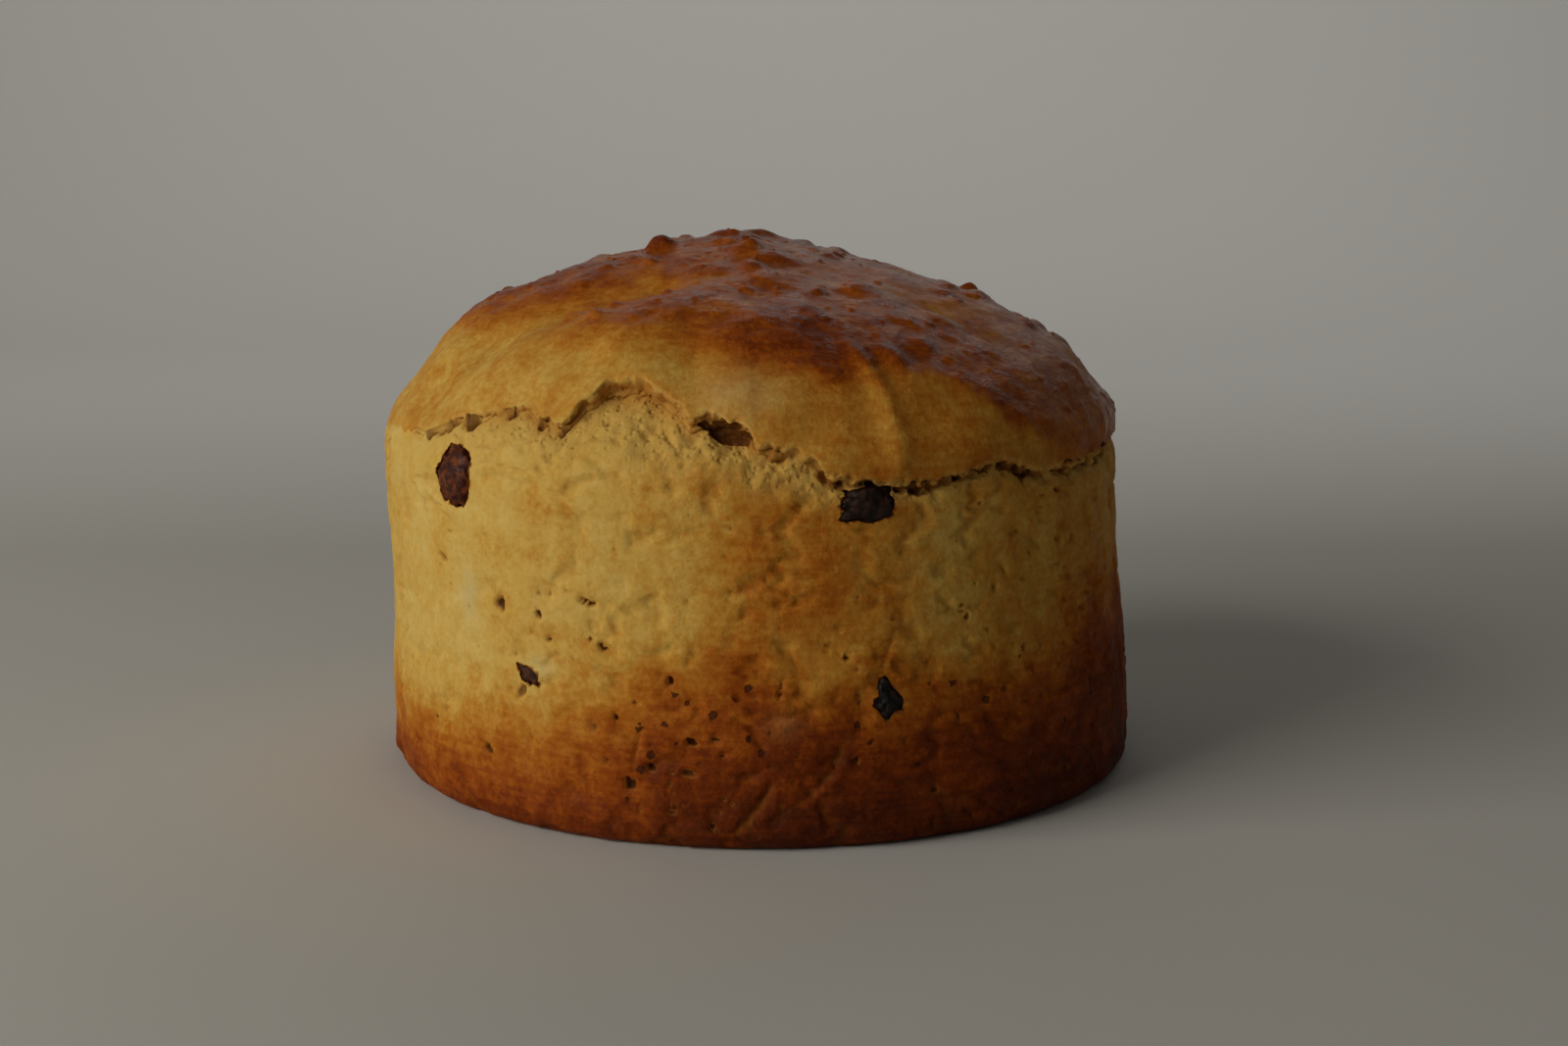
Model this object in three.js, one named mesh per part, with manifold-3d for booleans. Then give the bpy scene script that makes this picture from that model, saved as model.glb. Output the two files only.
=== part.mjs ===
// A panettone baked in a round tin, without its plate: a straight, slightly leaning wall, a rough tear
// where the dough rose past the tin's rim, a domed crust that hangs over the tear, and raisins set in the
// wall. Millimetres, +Z up. The origin is the middle of the base, on the surface that the loaf stands on.
// Angles round the loaf are in degrees: 0 faces the viewer along -Y, and 90 is the viewer's right, +X.
import * as THREE from "three";
import { mergeVertices } from "three/addons/utils/BufferGeometryUtils.js";
import Module from "manifold-3d";

// Driving sizes of the loaf.
const BASE_RADIUS = 91.6;
const WALL_TAPER = 0.032;
const LEAN = -0.042;
const CORNER_RADIUS = 5;
const SHOULDER_HEIGHT = 81;
const TOP_HEIGHT = 126.6;
const BACK_SHIFT = 2;
const LIP_DROOP = 1;

// Half of the dome's section, from the top of the wall to the apex: radius, height, and where its middle
// lies in X.
const DOME_OUTLINE = [
  [89, 81, -3.4],
  [87.8, 87, -2.4],
  [83.6, 93.5, -1.6],
  [78.4, 100, -1.6],
  [71.2, 105.4, -2.6],
  [63.8, 110, -3.6],
  [54.5, 114.2, -4.2],
  [44.5, 118, -4.8],
  [33.5, 121.5, -5.4],
  [22, 124.3, -6.2],
  [11, 126, -7.2],
  [0, TOP_HEIGHT, -8],
];

// The tear round the loaf, which climbs to an arch at the front left and dips beside a raisin: the angle,
// then the height of the lip, how deep the tear is under it, how far down it fades, and how far the lip
// hangs over it.
const TEAR = [
  [-180, 84, 1.4, 5, 0.7],
  [-150, 82, 0.6, 3, 0.4],
  [-120, 82, 0.3, 3, 0.2],
  [-90, 83, 0.1, 3, 0.1],
  [-70, 84, 0.2, 3, 0.2],
  [-58, 86, 0.7, 4, 0.4],
  [-47, 90.5, 0.9, 5, 0.4],
  [-36.5, 93.5, 1.1, 6, 0.4],
  [-33, 91.5, 1.2, 6, 0.5],
  [-29.5, 91, 1.4, 7, 0.6],
  [-26.5, 96, 2.2, 9, 0.9],
  [-23, 100, 3, 11, 1.2],
  [-19.5, 101, 3.2, 12, 1.3],
  [-15.5, 99, 3, 12, 1.3],
  [-12.5, 96, 2.6, 10, 1.1],
  [-9.5, 93, 2.1, 8, 1],
  [-6, 94.6, 2.1, 8, 0.9],
  [-1.6, 93, 2.2, 8, 0.9],
  [1, 89, 1.9, 7, 0.8],
  [5.5, 87, 1.6, 6, 0.7],
  [8, 86.4, 1.5, 6, 0.7],
  [12, 81.6, 1.3, 4, 0.8],
  [16, 80.4, 1.2, 3, 0.7],
  [24, 78.6, 1.2, 2.6, 0.8],
  [32, 81, 1.4, 2.4, 0.9],
  [38, 83, 1.5, 2.4, 0.9],
  [44, 79.6, 1.4, 2.4, 0.9],
  [50, 78.4, 1.3, 2.4, 0.8],
  [55, 78.6, 1.2, 2.4, 0.8],
  [62, 79.2, 1.1, 2.4, 0.7],
  [70, 79.8, 1, 2.6, 0.6],
  [90, 81, 0.7, 2.6, 0.4],
  [115, 83, 0.9, 3.4, 0.5],
  [138, 90, 2.1, 8, 1],
  [152, 95, 2.7, 10, 1.2],
  [165, 90, 2, 8, 1],
];

// How finely the loaf is divided, and the shares of the climb that the torn band and the lip's edge take.
const AROUND = 120;
const WALL_ROWS = 9;
const BAND_ROWS = 6;
const LIP_ROWS = 3;
const DOME_ROWS = 15;
const BAND_SHARE = 0.17;
const LIP_STEP = 0.012;

// Raisins: where each sits on the wall, its half-sizes along the wall, up the wall and into it, its turn,
// how far its middle lies behind the skin, and how much it is drawn out to four corners. The first four show
// in the photograph.
const RAISIN_GAP = 0.4;
const RAISIN_DETAIL = 2;
const RAISINS = [
  { name: "raisin_left", angle: -47.6, height: 77.8, half: [6.6, 6.8, 3.8], turn: 12, sunk: 2.1 },
  { name: "raisin_middle", angle: 16.6, height: 75.4, half: [8, 4.9, 3.9], turn: -4, sunk: 3 },
  { name: "raisin_low", angle: 18.1, height: 32.4, half: [4, 5.2, 3.2], turn: -5, sunk: 2.6, point: 0.16 },
  { name: "raisin_small", angle: -34, height: 36.2, half: [4.6, 2.6, 2.6], turn: 35, sunk: 2.2 },
  { name: "raisin_right", angle: 104, height: 58, half: [5, 3.9, 3.2], turn: 22, sunk: 2.6 },
  { name: "raisin_back", angle: 171, height: 80.5, half: [5.4, 4.2, 3.3], turn: 10, sunk: 2.7 },
  { name: "raisin_back_low", angle: -148, height: 41, half: [4, 4.9, 3.1], turn: -35, sunk: 2.7 },
  { name: "raisin_back_left", angle: -104, height: 66, half: [4.8, 3.6, 3.1], turn: -12, sunk: 2.8 },
];

// Holes left by gas bubbles, large enough to show as hollows in the solid: half-sizes as for the raisins.
const HOLES = [
  { angle: -4.2, height: 92.3, half: [5.4, 2.1, 3.8], turn: 18 },
  { angle: -38.9, height: 51, half: [1.7, 1.7, 1.6], turn: 20 },
  { angle: -9.2, height: 24.6, half: [1.9, 1.2, 1.5], turn: -20 },
  { angle: -15.1, height: 18.4, half: [1.4, 1.3, 1.4], turn: 0 },
  { angle: -18.2, height: 14.4, half: [1.4, 1.9, 1.4], turn: 12 },
  { angle: 152, height: 92, half: [3.4, 2, 3], turn: 12 },
  { angle: -122, height: 24, half: [1.8, 1.4, 1.5], turn: 0 },
  { angle: 122, height: 20, half: [1.6, 1.9, 1.5], turn: 10 },
];

const DEGREE = Math.PI / 180;
const mix = (a, b, t) => a + (b - a) * t;
const smooth = (t) => t * t * (3 - 2 * t);
const clamp = (t) => Math.min(1, Math.max(0, t));

// The difference of two angles in degrees, from -180 to 180.
function turnFrom(angle, centre) {
  return ((((angle - centre + 180) % 360) + 360) % 360) - 180;
}

// A soft bump round one angle: 1 at the centre, fading within about one width.
function swell(angle, centre, width) {
  return Math.exp(-((turnFrom(angle, centre) / width) ** 2));
}

// A soft bump round one place in plan, longer along its own direction than across it.
function mound(x, y, place) {
  const c = Math.cos(place.turn * DEGREE);
  const s = Math.sin(place.turn * DEGREE);
  const along = ((x - place.x) * c + (y - place.y) * s) / place.length;
  const across = (-(x - place.x) * s + (y - place.y) * c) / place.width;
  return Math.exp(-along * along - across * across);
}

function cell(i, j, k) {
  const v = Math.sin(i * 127.1 + j * 311.7 + k * 74.7) * 43758.5453;
  return v - Math.floor(v);
}

// Smooth noise from -1 to 1 with features of one unit.
function noise(x, y, z) {
  const [i, j, k] = [Math.floor(x), Math.floor(y), Math.floor(z)];
  const [u, v, w] = [smooth(x - i), smooth(y - j), smooth(z - k)];
  const layer = (m) =>
    mix(mix(cell(i, j, m), cell(i + 1, j, m), u), mix(cell(i, j + 1, m), cell(i + 1, j + 1, m), u), v);
  return 2 * mix(layer(k), layer(k + 1), w) - 1;
}

// A value of the tear's table at any angle, changing smoothly from one of its rows to the next.
function tearValue(angle, column) {
  const turn = turnFrom(angle, 0);
  const n = TEAR.findLastIndex((row) => row[0] <= turn);
  const from = TEAR[n];
  const to = TEAR[(n + 1) % TEAR.length];
  const share = (turn - from[0]) / ((to[0] - from[0] + 360) % 360);
  return mix(from[column], to[column], smooth(share));
}

// The height at which the risen dome tore away from the wall.
function tearHeight(angle) {
  const jitter = 0.9 * noise((90 * Math.sin(angle * DEGREE)) / 7, (-90 * Math.cos(angle * DEGREE)) / 7, 3);
  return tearValue(angle, 1) + jitter;
}

const tearDepth = (angle) => tearValue(angle, 2);
const tearFade = (angle) => tearValue(angle, 3);
const lipOverhang = (angle) => tearValue(angle, 4);

// Broad folds of the crust, in plan: a ridge in front of a long valley, and lesser ones behind.
const FOLDS = [
  { x: -22, y: -54, length: 44, width: 11, turn: -4, height: 1.8 },
  { x: -34, y: -33, length: 40, width: 9, turn: 8, height: -3.8 },
  { x: -30, y: -8, length: 34, width: 12, turn: 14, height: 0.4 },
  { x: 34, y: -30, length: 24, width: 10, turn: -30, height: -1.3 },
  { x: 45, y: 12, length: 30, width: 13, turn: 60, height: 0.5 },
  { x: 18, y: 30, length: 30, width: 9, turn: -20, height: -2 },
  { x: -40, y: 40, length: 26, width: 11, turn: 40, height: -1.8 },
  { x: -8, y: 58, length: 34, width: 12, turn: 5, height: 1.5 },
  { x: -4, y: -36, length: 17, width: 6, turn: 24, height: 1.2 },
  { x: -66, y: -8, length: 13, width: 8, turn: 80, height: 2.2 },
  { x: 31, y: 4, length: 14, width: 14, turn: 0, height: -1.9 },
  { x: 72, y: 4, length: 13, width: 13, turn: 0, height: -1.8 },
];

// Knobs on the crust, over a raisin or a knot of dough.
const KNOBS = [
  { x: 52, y: -8, length: 3.6, width: 3, turn: 0, height: 2.2 },
  { x: 67, y: -4, length: 3.4, width: 3, turn: 0, height: 2 },
  { x: -24, y: -4, length: 3.8, width: 3, turn: 20, height: 1.8 },
  { x: -8, y: 4, length: 8, width: 6, turn: 0, height: 0.6 },
  { x: 22, y: -34, length: 4, width: 3.4, turn: 10, height: 1.5 },
  { x: 40, y: -42, length: 4.4, width: 3.6, turn: -20, height: 1.4 },
  { x: -52, y: 22, length: 4.4, width: 3.4, turn: 0, height: 1.7 },
  { x: 8, y: 46, length: 4, width: 3.4, turn: 30, height: 1.7 },
];

function crustRelief(x, y, z) {
  let lift = noise(x / 15 + 3, y / 15, z / 15) + 0.5 * noise(x / 8, y / 8 + 7, z / 8);
  for (const fold of [...FOLDS, ...KNOBS]) lift += fold.height * mound(x, y, fold);
  return lift;
}

// A pleat of dough that runs down the dome to the tear.
function pleat(angle, z) {
  const onPleat = Math.exp(-(((angle - 20.5 + (z - 92) * 0.08) / 1.9) ** 2));
  return 1.1 * onPleat * clamp((z - 78) / 6) * clamp((110 - z) / 6);
}

function wallRelief(angle, z) {
  const x = 90 * Math.sin(angle * DEGREE);
  const y = -90 * Math.cos(angle * DEGREE);
  const swellings = 0.55 * noise(x / 34, y / 34 + 5, z / 26) + 0.3 * noise(x / 13, y / 13, z / 11);
  const waist = -1.1 * swell(angle, -95, 38) * Math.exp(-(((z - 45) / 16) ** 2));
  return (swellings + waist) * clamp(z / 12);
}

// Bulges of the whole skin, level with each other above and below the tear.
function skinRelief(angle, at) {
  const onDome = smooth(clamp((at.z - SHOULDER_HEIGHT + 6) / 22));
  return mix(wallRelief(angle, at.z), crustRelief(...place(angle, at.radius, at.z)), onDome);
}

// The outline's points with one more past each end: the curve leaves the wall steeply and crosses the apex
// level.
const pastWall = DOME_OUTLINE[0].map((v, i) => 2 * v - DOME_OUTLINE[1][i] - (i ? 0 : 0.6));
const pastApex = DOME_OUTLINE.at(-2).map((v, i) => (i ? v : -v));
const DOME_POINTS = [pastWall, ...DOME_OUTLINE, pastApex];

// A point and its slope on a smooth curve through the dome's outline, from 0 at the shoulder to 1 at the
// apex.
function domeCurve(share) {
  const t = clamp(share) * (DOME_OUTLINE.length - 1);
  const n = Math.min(Math.floor(t), DOME_OUTLINE.length - 2);
  const u = t - n;
  const [radius, z, shift] = [0, 1, 2].map((i) => {
    const [a, b, c, d] = DOME_POINTS.slice(n, n + 4).map((point) => point[i]);
    const bend = 2 * a - 5 * b + 4 * c - d;
    const twist = 3 * b - a - 3 * c + d;
    return {
      value: 0.5 * (2 * b + (c - a) * u + bend * u ** 2 + twist * u ** 3),
      slope: 0.5 * (c - a + 2 * bend * u + 3 * twist * u ** 2),
    };
  });
  return { radius: radius.value, z: z.value, shift: shift.value, rise: Math.atan2(-radius.slope, z.slope) };
}

// How far up the dome's curve a height lies, found by halving.
function domeShareAt(z) {
  let [low, high] = [0, 1];
  for (let k = 0; k < 24; k++) {
    const half = (low + high) / 2;
    if (domeCurve(half).z < z) low = half;
    else high = half;
  }
  return (low + high) / 2;
}

// The undamaged outline: 0 to 1 climbs the wall from its corner to the shoulder, and 1 to 2 the dome to
// its top.
function outline(climb) {
  if (climb > 1) return domeCurve(climb - 1);
  const z = mix(CORNER_RADIUS, SHOULDER_HEIGHT, climb);
  return { radius: BASE_RADIUS - WALL_TAPER * z, z, rise: 0 };
}

function climbAt(z) {
  if (z <= SHOULDER_HEIGHT) return (z - CORNER_RADIUS) / (SHOULDER_HEIGHT - CORNER_RADIUS);
  return 1 + domeShareAt(z);
}

// The loaf's middle line: it leans to the left, and the dome's middle wanders as the outline says.
function middle(z) {
  const over = clamp((z - SHOULDER_HEIGHT) / (TOP_HEIGHT - SHOULDER_HEIGHT));
  return {
    x: z <= SHOULDER_HEIGHT ? LEAN * z : domeCurve(domeShareAt(z)).shift,
    y: BACK_SHIFT * over ** 2,
  };
}

function place(angle, radius, z) {
  const m = middle(z);
  return [m.x + radius * Math.sin(angle * DEGREE), m.y - radius * Math.cos(angle * DEGREE), z];
}

// A point of the skin below the tear, sunk where the crumb is torn.
function wallPoint(angle, climb) {
  const at = outline(climb);
  const below = tearHeight(angle) - at.z;
  const torn = tearDepth(angle) * Math.exp(-((below / tearFade(angle)) ** 2));
  const lift = skinRelief(angle, at) - torn;
  return place(angle, at.radius + lift * Math.cos(at.rise), at.z + lift * Math.sin(at.rise));
}

// A point of the crust, which starts at the lip over the tear and ends at the top.
function crustPoint(angle, climb) {
  const at = outline(climb);
  const above = at.z - tearHeight(angle);
  const bulge = lipOverhang(angle) * Math.exp(-((above / 12) ** 2));
  const lift = bulge + pleat(angle, at.z) + skinRelief(angle, at);
  return place(angle, at.radius + lift * Math.cos(at.rise), at.z + lift * Math.sin(at.rise));
}

// The underside of the lip, from the bottom of the tear out to the crust's edge.
function lipPoint(angle, share) {
  const climb = climbAt(tearHeight(angle));
  const inner = wallPoint(angle, climb);
  const outer = crustPoint(angle, climb + LIP_STEP);
  const point = inner.map((v, i) => mix(v, outer[i], smooth(share)));
  point[2] -= LIP_DROOP * lipOverhang(angle) * Math.sin(share * Math.PI);
  return point;
}

// The rows of the loaf's skin, from the ring on the base to the last ring below the top.
function skinRows() {
  const rows = [(angle) => place(angle, (BASE_RADIUS - CORNER_RADIUS) / 2, 0)];
  const cornerSteps = 3;
  for (let k = 0; k < cornerSteps; k++) {
    const bend = (k / cornerSteps) * 90 * DEGREE;
    const height = CORNER_RADIUS * (1 - Math.cos(bend));
    const out = CORNER_RADIUS * Math.sin(bend) - WALL_TAPER * CORNER_RADIUS;
    rows.push((angle) => place(angle, BASE_RADIUS - CORNER_RADIUS + out, height));
  }
  const tearClimb = (angle) => climbAt(tearHeight(angle));
  for (let k = 0; k < WALL_ROWS; k++)
    rows.push((angle) => wallPoint(angle, (k / WALL_ROWS) * (tearClimb(angle) - BAND_SHARE)));
  for (let k = 0; k <= BAND_ROWS; k++)
    rows.push((angle) => wallPoint(angle, tearClimb(angle) - BAND_SHARE * (1 - k / BAND_ROWS)));
  for (let k = 1; k <= LIP_ROWS; k++) rows.push((angle) => lipPoint(angle, k / LIP_ROWS));
  for (let k = 1; k < DOME_ROWS; k++)
    rows.push((angle) => crustPoint(angle, mix(tearClimb(angle) + LIP_STEP, 2, (k / DOME_ROWS) ** 1.05)));
  return rows;
}

// The skin as one closed surface: rings of points joined by triangles, with one point at each end.
function skinGeometry() {
  const rows = skinRows();
  const points = [[0, 0, 0]];
  for (const row of rows)
    for (let j = 0; j < AROUND; j++) points.push(row((j * 360) / AROUND - 180));
  points.push(crustPoint(0, 2));
  const last = points.length - 1;
  const ring = (i, j) => 1 + i * AROUND + (j % AROUND);
  const faces = [];
  for (let j = 0; j < AROUND; j++) {
    faces.push(0, ring(0, j + 1), ring(0, j));
    faces.push(last, ring(rows.length - 1, j), ring(rows.length - 1, j + 1));
    for (let i = 0; i + 1 < rows.length; i++) {
      const [a, b, c, d] = [ring(i, j), ring(i, j + 1), ring(i + 1, j + 1), ring(i + 1, j)];
      if ((i + j) % 2) faces.push(a, b, c, a, c, d);
      else faces.push(a, b, d, b, c, d);
    }
  }
  const geometry = new THREE.BufferGeometry();
  geometry.setAttribute("position", new THREE.Float32BufferAttribute(points.flat(), 3));
  geometry.setIndex(faces);
  return geometry;
}

// The turn and place of a thing set in the skin at one angle and height, with its middle behind the skin.
function seat({ angle, height, turn, sunk = 0 }) {
  const climb = climbAt(height);
  const at = outline(climb);
  const [x, y, z] = height < tearHeight(angle) ? wallPoint(angle, climb) : crustPoint(angle, climb);
  const inward = sunk * Math.cos(at.rise);
  return new THREE.Matrix4()
    .makeTranslation(
      x - inward * Math.sin(angle * DEGREE),
      y + inward * Math.cos(angle * DEGREE),
      z - sunk * Math.sin(at.rise),
    )
    .multiply(new THREE.Matrix4().makeRotationZ(angle * DEGREE))
    .multiply(new THREE.Matrix4().makeRotationX(-at.rise))
    .multiply(new THREE.Matrix4().makeRotationY(turn * DEGREE));
}

// A wrinkled drop with the given half-sizes along the wall, up it and into it, grown by a margin all over.
// Its face towards the viewer is drawn out to four corners where it has a point.
function wrinkled({ half, angle, point = 0 }, margin, wrinkle, detail) {
  const geometry = mergeVertices(withoutExtras(new THREE.IcosahedronGeometry(1, detail)));
  const position = geometry.getAttribute("position");
  for (let i = 0; i < position.count; i++) {
    const p = new THREE.Vector3().fromBufferAttribute(position, i).normalize();
    const corners = point * Math.cos(4 * Math.atan2(p.z, p.x)) * (1 - p.y ** 2);
    const fold = 1 + corners + wrinkle * noise(p.x * 2.6 + angle, p.y * 2.6, p.z * 2.6);
    position.setXYZ(
      i,
      p.x * (half[0] * fold + margin),
      p.y * (half[2] * fold + margin),
      p.z * (half[1] * fold + margin),
    );
  }
  return geometry;
}

function withoutExtras(geometry) {
  geometry.deleteAttribute("normal");
  geometry.deleteAttribute("uv");
  return geometry;
}

const wasm = await Module();
wasm.setup();

function solidFrom(geometry, matrix = new THREE.Matrix4()) {
  const moved = geometry.clone().applyMatrix4(matrix);
  return new wasm.Manifold(
    new wasm.Mesh({
      numProp: 3,
      vertProperties: new Float32Array(moved.getAttribute("position").array),
      triVerts: new Uint32Array(moved.index.array),
    }),
  );
}

function geometryFrom(solid) {
  const mesh = solid.getMesh();
  const geometry = new THREE.BufferGeometry();
  geometry.setAttribute("position", new THREE.BufferAttribute(mesh.vertProperties, 3));
  geometry.setIndex(new THREE.BufferAttribute(mesh.triVerts, 1));
  geometry.computeVertexNormals();
  return geometry;
}

const WRINKLE = 0.16;
const HOLE_WRINKLE = 0.22;

// The loaf, with a pocket round each raisin and the larger gas holes cut out.
function loafGeometry() {
  let loaf = solidFrom(skinGeometry());
  for (const raisin of RAISINS) {
    const pocket = wrinkled(raisin, RAISIN_GAP, WRINKLE, RAISIN_DETAIL);
    loaf = loaf.subtract(solidFrom(pocket, seat(raisin)));
  }
  for (const hole of HOLES)
    loaf = loaf.subtract(solidFrom(wrinkled(hole, 0, HOLE_WRINKLE, 1), seat(hole)));
  return geometryFrom(loaf);
}

const crust = new THREE.MeshStandardMaterial({ color: 0xc58a3f, roughness: 0.62, metalness: 0 });
const raisinSkin = new THREE.MeshStandardMaterial({ color: 0x3a1a14, roughness: 0.45, metalness: 0 });

const panettone = new THREE.Group();

const loaf = new THREE.Mesh(loafGeometry(), crust);
loaf.name = "loaf";
panettone.add(loaf);

for (const raisin of RAISINS) {
  const mesh = new THREE.Mesh(wrinkled(raisin, 0, WRINKLE, RAISIN_DETAIL), raisinSkin);
  mesh.name = raisin.name;
  mesh.applyMatrix4(seat(raisin));
  panettone.add(mesh);
}

export default panettone;
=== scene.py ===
# Panettone: a browned wall, a torn seam, a glossy risen dome, and raisins set in the wall.
import math
import random

import bmesh
import bpy
import numpy as np
from mathutils import Matrix, Vector


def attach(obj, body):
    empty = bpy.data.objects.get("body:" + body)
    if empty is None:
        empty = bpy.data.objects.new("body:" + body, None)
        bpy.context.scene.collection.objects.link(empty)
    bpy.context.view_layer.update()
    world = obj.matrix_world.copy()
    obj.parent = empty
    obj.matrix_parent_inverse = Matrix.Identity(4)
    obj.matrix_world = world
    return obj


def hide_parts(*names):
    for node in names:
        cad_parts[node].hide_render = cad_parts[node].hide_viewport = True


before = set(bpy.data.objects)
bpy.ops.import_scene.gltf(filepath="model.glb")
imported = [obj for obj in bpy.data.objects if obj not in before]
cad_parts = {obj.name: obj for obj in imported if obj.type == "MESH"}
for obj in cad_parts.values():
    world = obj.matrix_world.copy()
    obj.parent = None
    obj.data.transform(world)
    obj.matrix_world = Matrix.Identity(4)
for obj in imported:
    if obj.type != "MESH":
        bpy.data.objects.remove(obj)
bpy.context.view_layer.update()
mm = 0.001
print("frame loaded:", sorted(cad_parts))

# The loaf's own sizes, in millimetres and degrees. Angle 0 faces the camera, and 90 is the camera's right.
loafShape = {
    "baseRadius": 91.6,
    "wallTaper": 0.032,
    "lean": -0.042,
    "cornerRadius": 5.0,
    "shoulderHeight": 81.0,
    "topHeight": 126.6,
    "backShift": 2.0,
    "bandShare": 0.17,
    "lipDroop": 1.0,
    # how far above the tear the lip ends, as a share of the climb
    "lipStep": 0.012,
    # radii for lengths along the wall, and for the ring that noise is read on
    "wallRadius": 90.5,
    "noiseRing": 90,
    # coarse spin steps and rows, which are then split in four both ways
    "around": 240,
    "rows": {"base": 2, "corner": 2, "wall": 22, "band": 13, "lip": 2, "crust": 44},
    "finalTriangles": 184000,
}
# Half of the dome's section, from the top of the wall to the apex: radius, height, and where its middle
# lies in X.
domeOutline = [
    (89.0, 81.0, -3.4), (87.8, 87.0, -2.4), (83.6, 93.5, -1.6), (78.4, 100.0, -1.6),
    (71.2, 105.4, -2.6), (63.8, 110.0, -3.6), (54.5, 114.2, -4.2), (44.5, 118.0, -4.8),
    (33.5, 121.5, -5.4), (22.0, 124.3, -6.2), (11.0, 126.0, -7.2), (0.0, 126.6, -8.0),
]  # fmt: skip
# The tear round the loaf: angle, height of the lip, depth under it, how far down it fades, and how far the
# lip hangs over it.
tearKnots = [
    (-180, 84.0, 1.4, 5.0, 0.7), (-150, 82.0, 0.6, 3.0, 0.4), (-120, 82.0, 0.3, 3.0, 0.2),
    (-90, 83.0, 0.1, 3.0, 0.1), (-70, 84.0, 0.2, 3.0, 0.2), (-58, 86.0, 0.7, 4.0, 0.4),
    (-47, 90.5, 0.9, 5.0, 0.4), (-36.5, 93.5, 1.1, 6.0, 0.4), (-33, 91.5, 1.2, 6.0, 0.5),
    (-29.5, 91.0, 1.4, 7.0, 0.6), (-26.5, 96.0, 2.2, 9.0, 0.9), (-23, 100.0, 3.0, 11.0, 1.2),
    (-19.5, 101.0, 3.2, 12.0, 1.3), (-15.5, 99.0, 3.0, 12.0, 1.3), (-12.5, 96.0, 2.6, 10.0, 1.1),
    (-9.5, 93.0, 2.1, 8.0, 1.0), (-6, 94.6, 2.1, 8.0, 0.9), (-1.6, 93.0, 2.2, 8.0, 0.9),
    (1, 89.0, 1.9, 7.0, 0.8), (5.5, 87.0, 1.6, 6.0, 0.7), (8, 86.4, 1.5, 6.0, 0.7),
    (12, 81.6, 1.3, 4.0, 0.8), (16, 80.4, 1.2, 3.0, 0.7), (24, 78.6, 1.2, 2.6, 0.8),
    (32, 81.0, 1.4, 2.4, 0.9), (38, 83.0, 1.5, 2.4, 0.9), (44, 79.6, 1.4, 2.4, 0.9),
    (50, 78.4, 1.3, 2.4, 0.8), (55, 78.6, 1.2, 2.4, 0.8), (62, 79.2, 1.1, 2.4, 0.7),
    (70, 79.8, 1.0, 2.6, 0.6), (90, 81.0, 0.7, 2.6, 0.4), (115, 83.0, 0.9, 3.4, 0.5),
    (138, 90.0, 2.1, 8.0, 1.0), (152, 95.0, 2.7, 10.0, 1.2), (165, 90.0, 2.0, 8.0, 1.0),
]  # fmt: skip


# Small helpers for numbers that may be whole arrays.
def mix(a, b, t):
    return a + (b - a) * t


def clamp(t):
    return np.clip(t, 0.0, 1.0)


def smooth(t):
    t = clamp(t)
    return t * t * (3 - 2 * t)


# How far one angle is from another, from -180 to 180.
def turnFrom(angle, centre):
    return (angle - centre + 180) % 360 - 180


def swell(angle, centre, width):
    return np.exp(-((turnFrom(angle, centre) / width) ** 2))


# A soft spot on the skin: its middle, its reach in degrees and in millimetres, and its strength.
def softSpot(angle, height, middleAngle, middleHeight, wide, high, amount):
    return amount * swell(angle, middleAngle, wide) * np.exp(-(((height - middleHeight) / high) ** 2))


# From 0 to 1 going right from the given angle, and back to 0 behind the loaf.
def rightward(angle, start, width):
    return smooth((angle - start) / width) * (1 - smooth((angle - 115) / 60))


# A circle round the wall, on which noise by angle alone is read.
def onRing(angle):
    ring = loafShape["noiseRing"]
    return ring * np.sin(np.radians(angle)), -ring * np.cos(np.radians(angle))


# Millimetres along the wall for a turn in degrees.
def alongWall(turn):
    return turn * math.radians(1) * loafShape["wallRadius"]


# Values that are given at some angles, and change smoothly from one to the next all the way round.
def aroundTable(angle, knots, column):
    knots = sorted(knots)
    angles = np.array([k[0] for k in knots] + [knots[0][0] + 360], float)
    values = np.array([k[column] for k in knots] + [knots[0][column]], float)
    turn = (angle - angles[0]) % 360 + angles[0]
    n = np.clip(np.searchsorted(angles, turn, side="right") - 1, 0, len(knots) - 1)
    return mix(values[n], values[n + 1], smooth((turn - angles[n]) / (angles[n + 1] - angles[n])))


def cell(i, j, k):
    v = np.sin(i * 127.1 + j * 311.7 + k * 74.7) * 43758.5453
    return v - np.floor(v)


# The same slow noise as the solid has, from -1 to 1.
def slowNoise(x, y, z):
    x, y, z = np.broadcast_arrays(*(np.asarray(v, float) for v in (x, y, z)))
    i, j, k = np.floor(x), np.floor(y), np.floor(z)
    u, v, w = smooth(x - i), smooth(y - j), smooth(z - k)

    def layer(m):
        near = mix(cell(i, j, m), cell(i + 1, j, m), u)
        far = mix(cell(i, j + 1, m), cell(i + 1, j + 1, m), u)
        return mix(near, far, v)

    return 2 * mix(layer(k), layer(k + 1), w) - 1


noiseTable = np.random.default_rng(7)
shuffled = np.tile(noiseTable.permutation(256), 2)
slopes = noiseTable.normal(size=(256, 3))
slopes /= np.linalg.norm(slopes, axis=1)[:, None]


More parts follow.
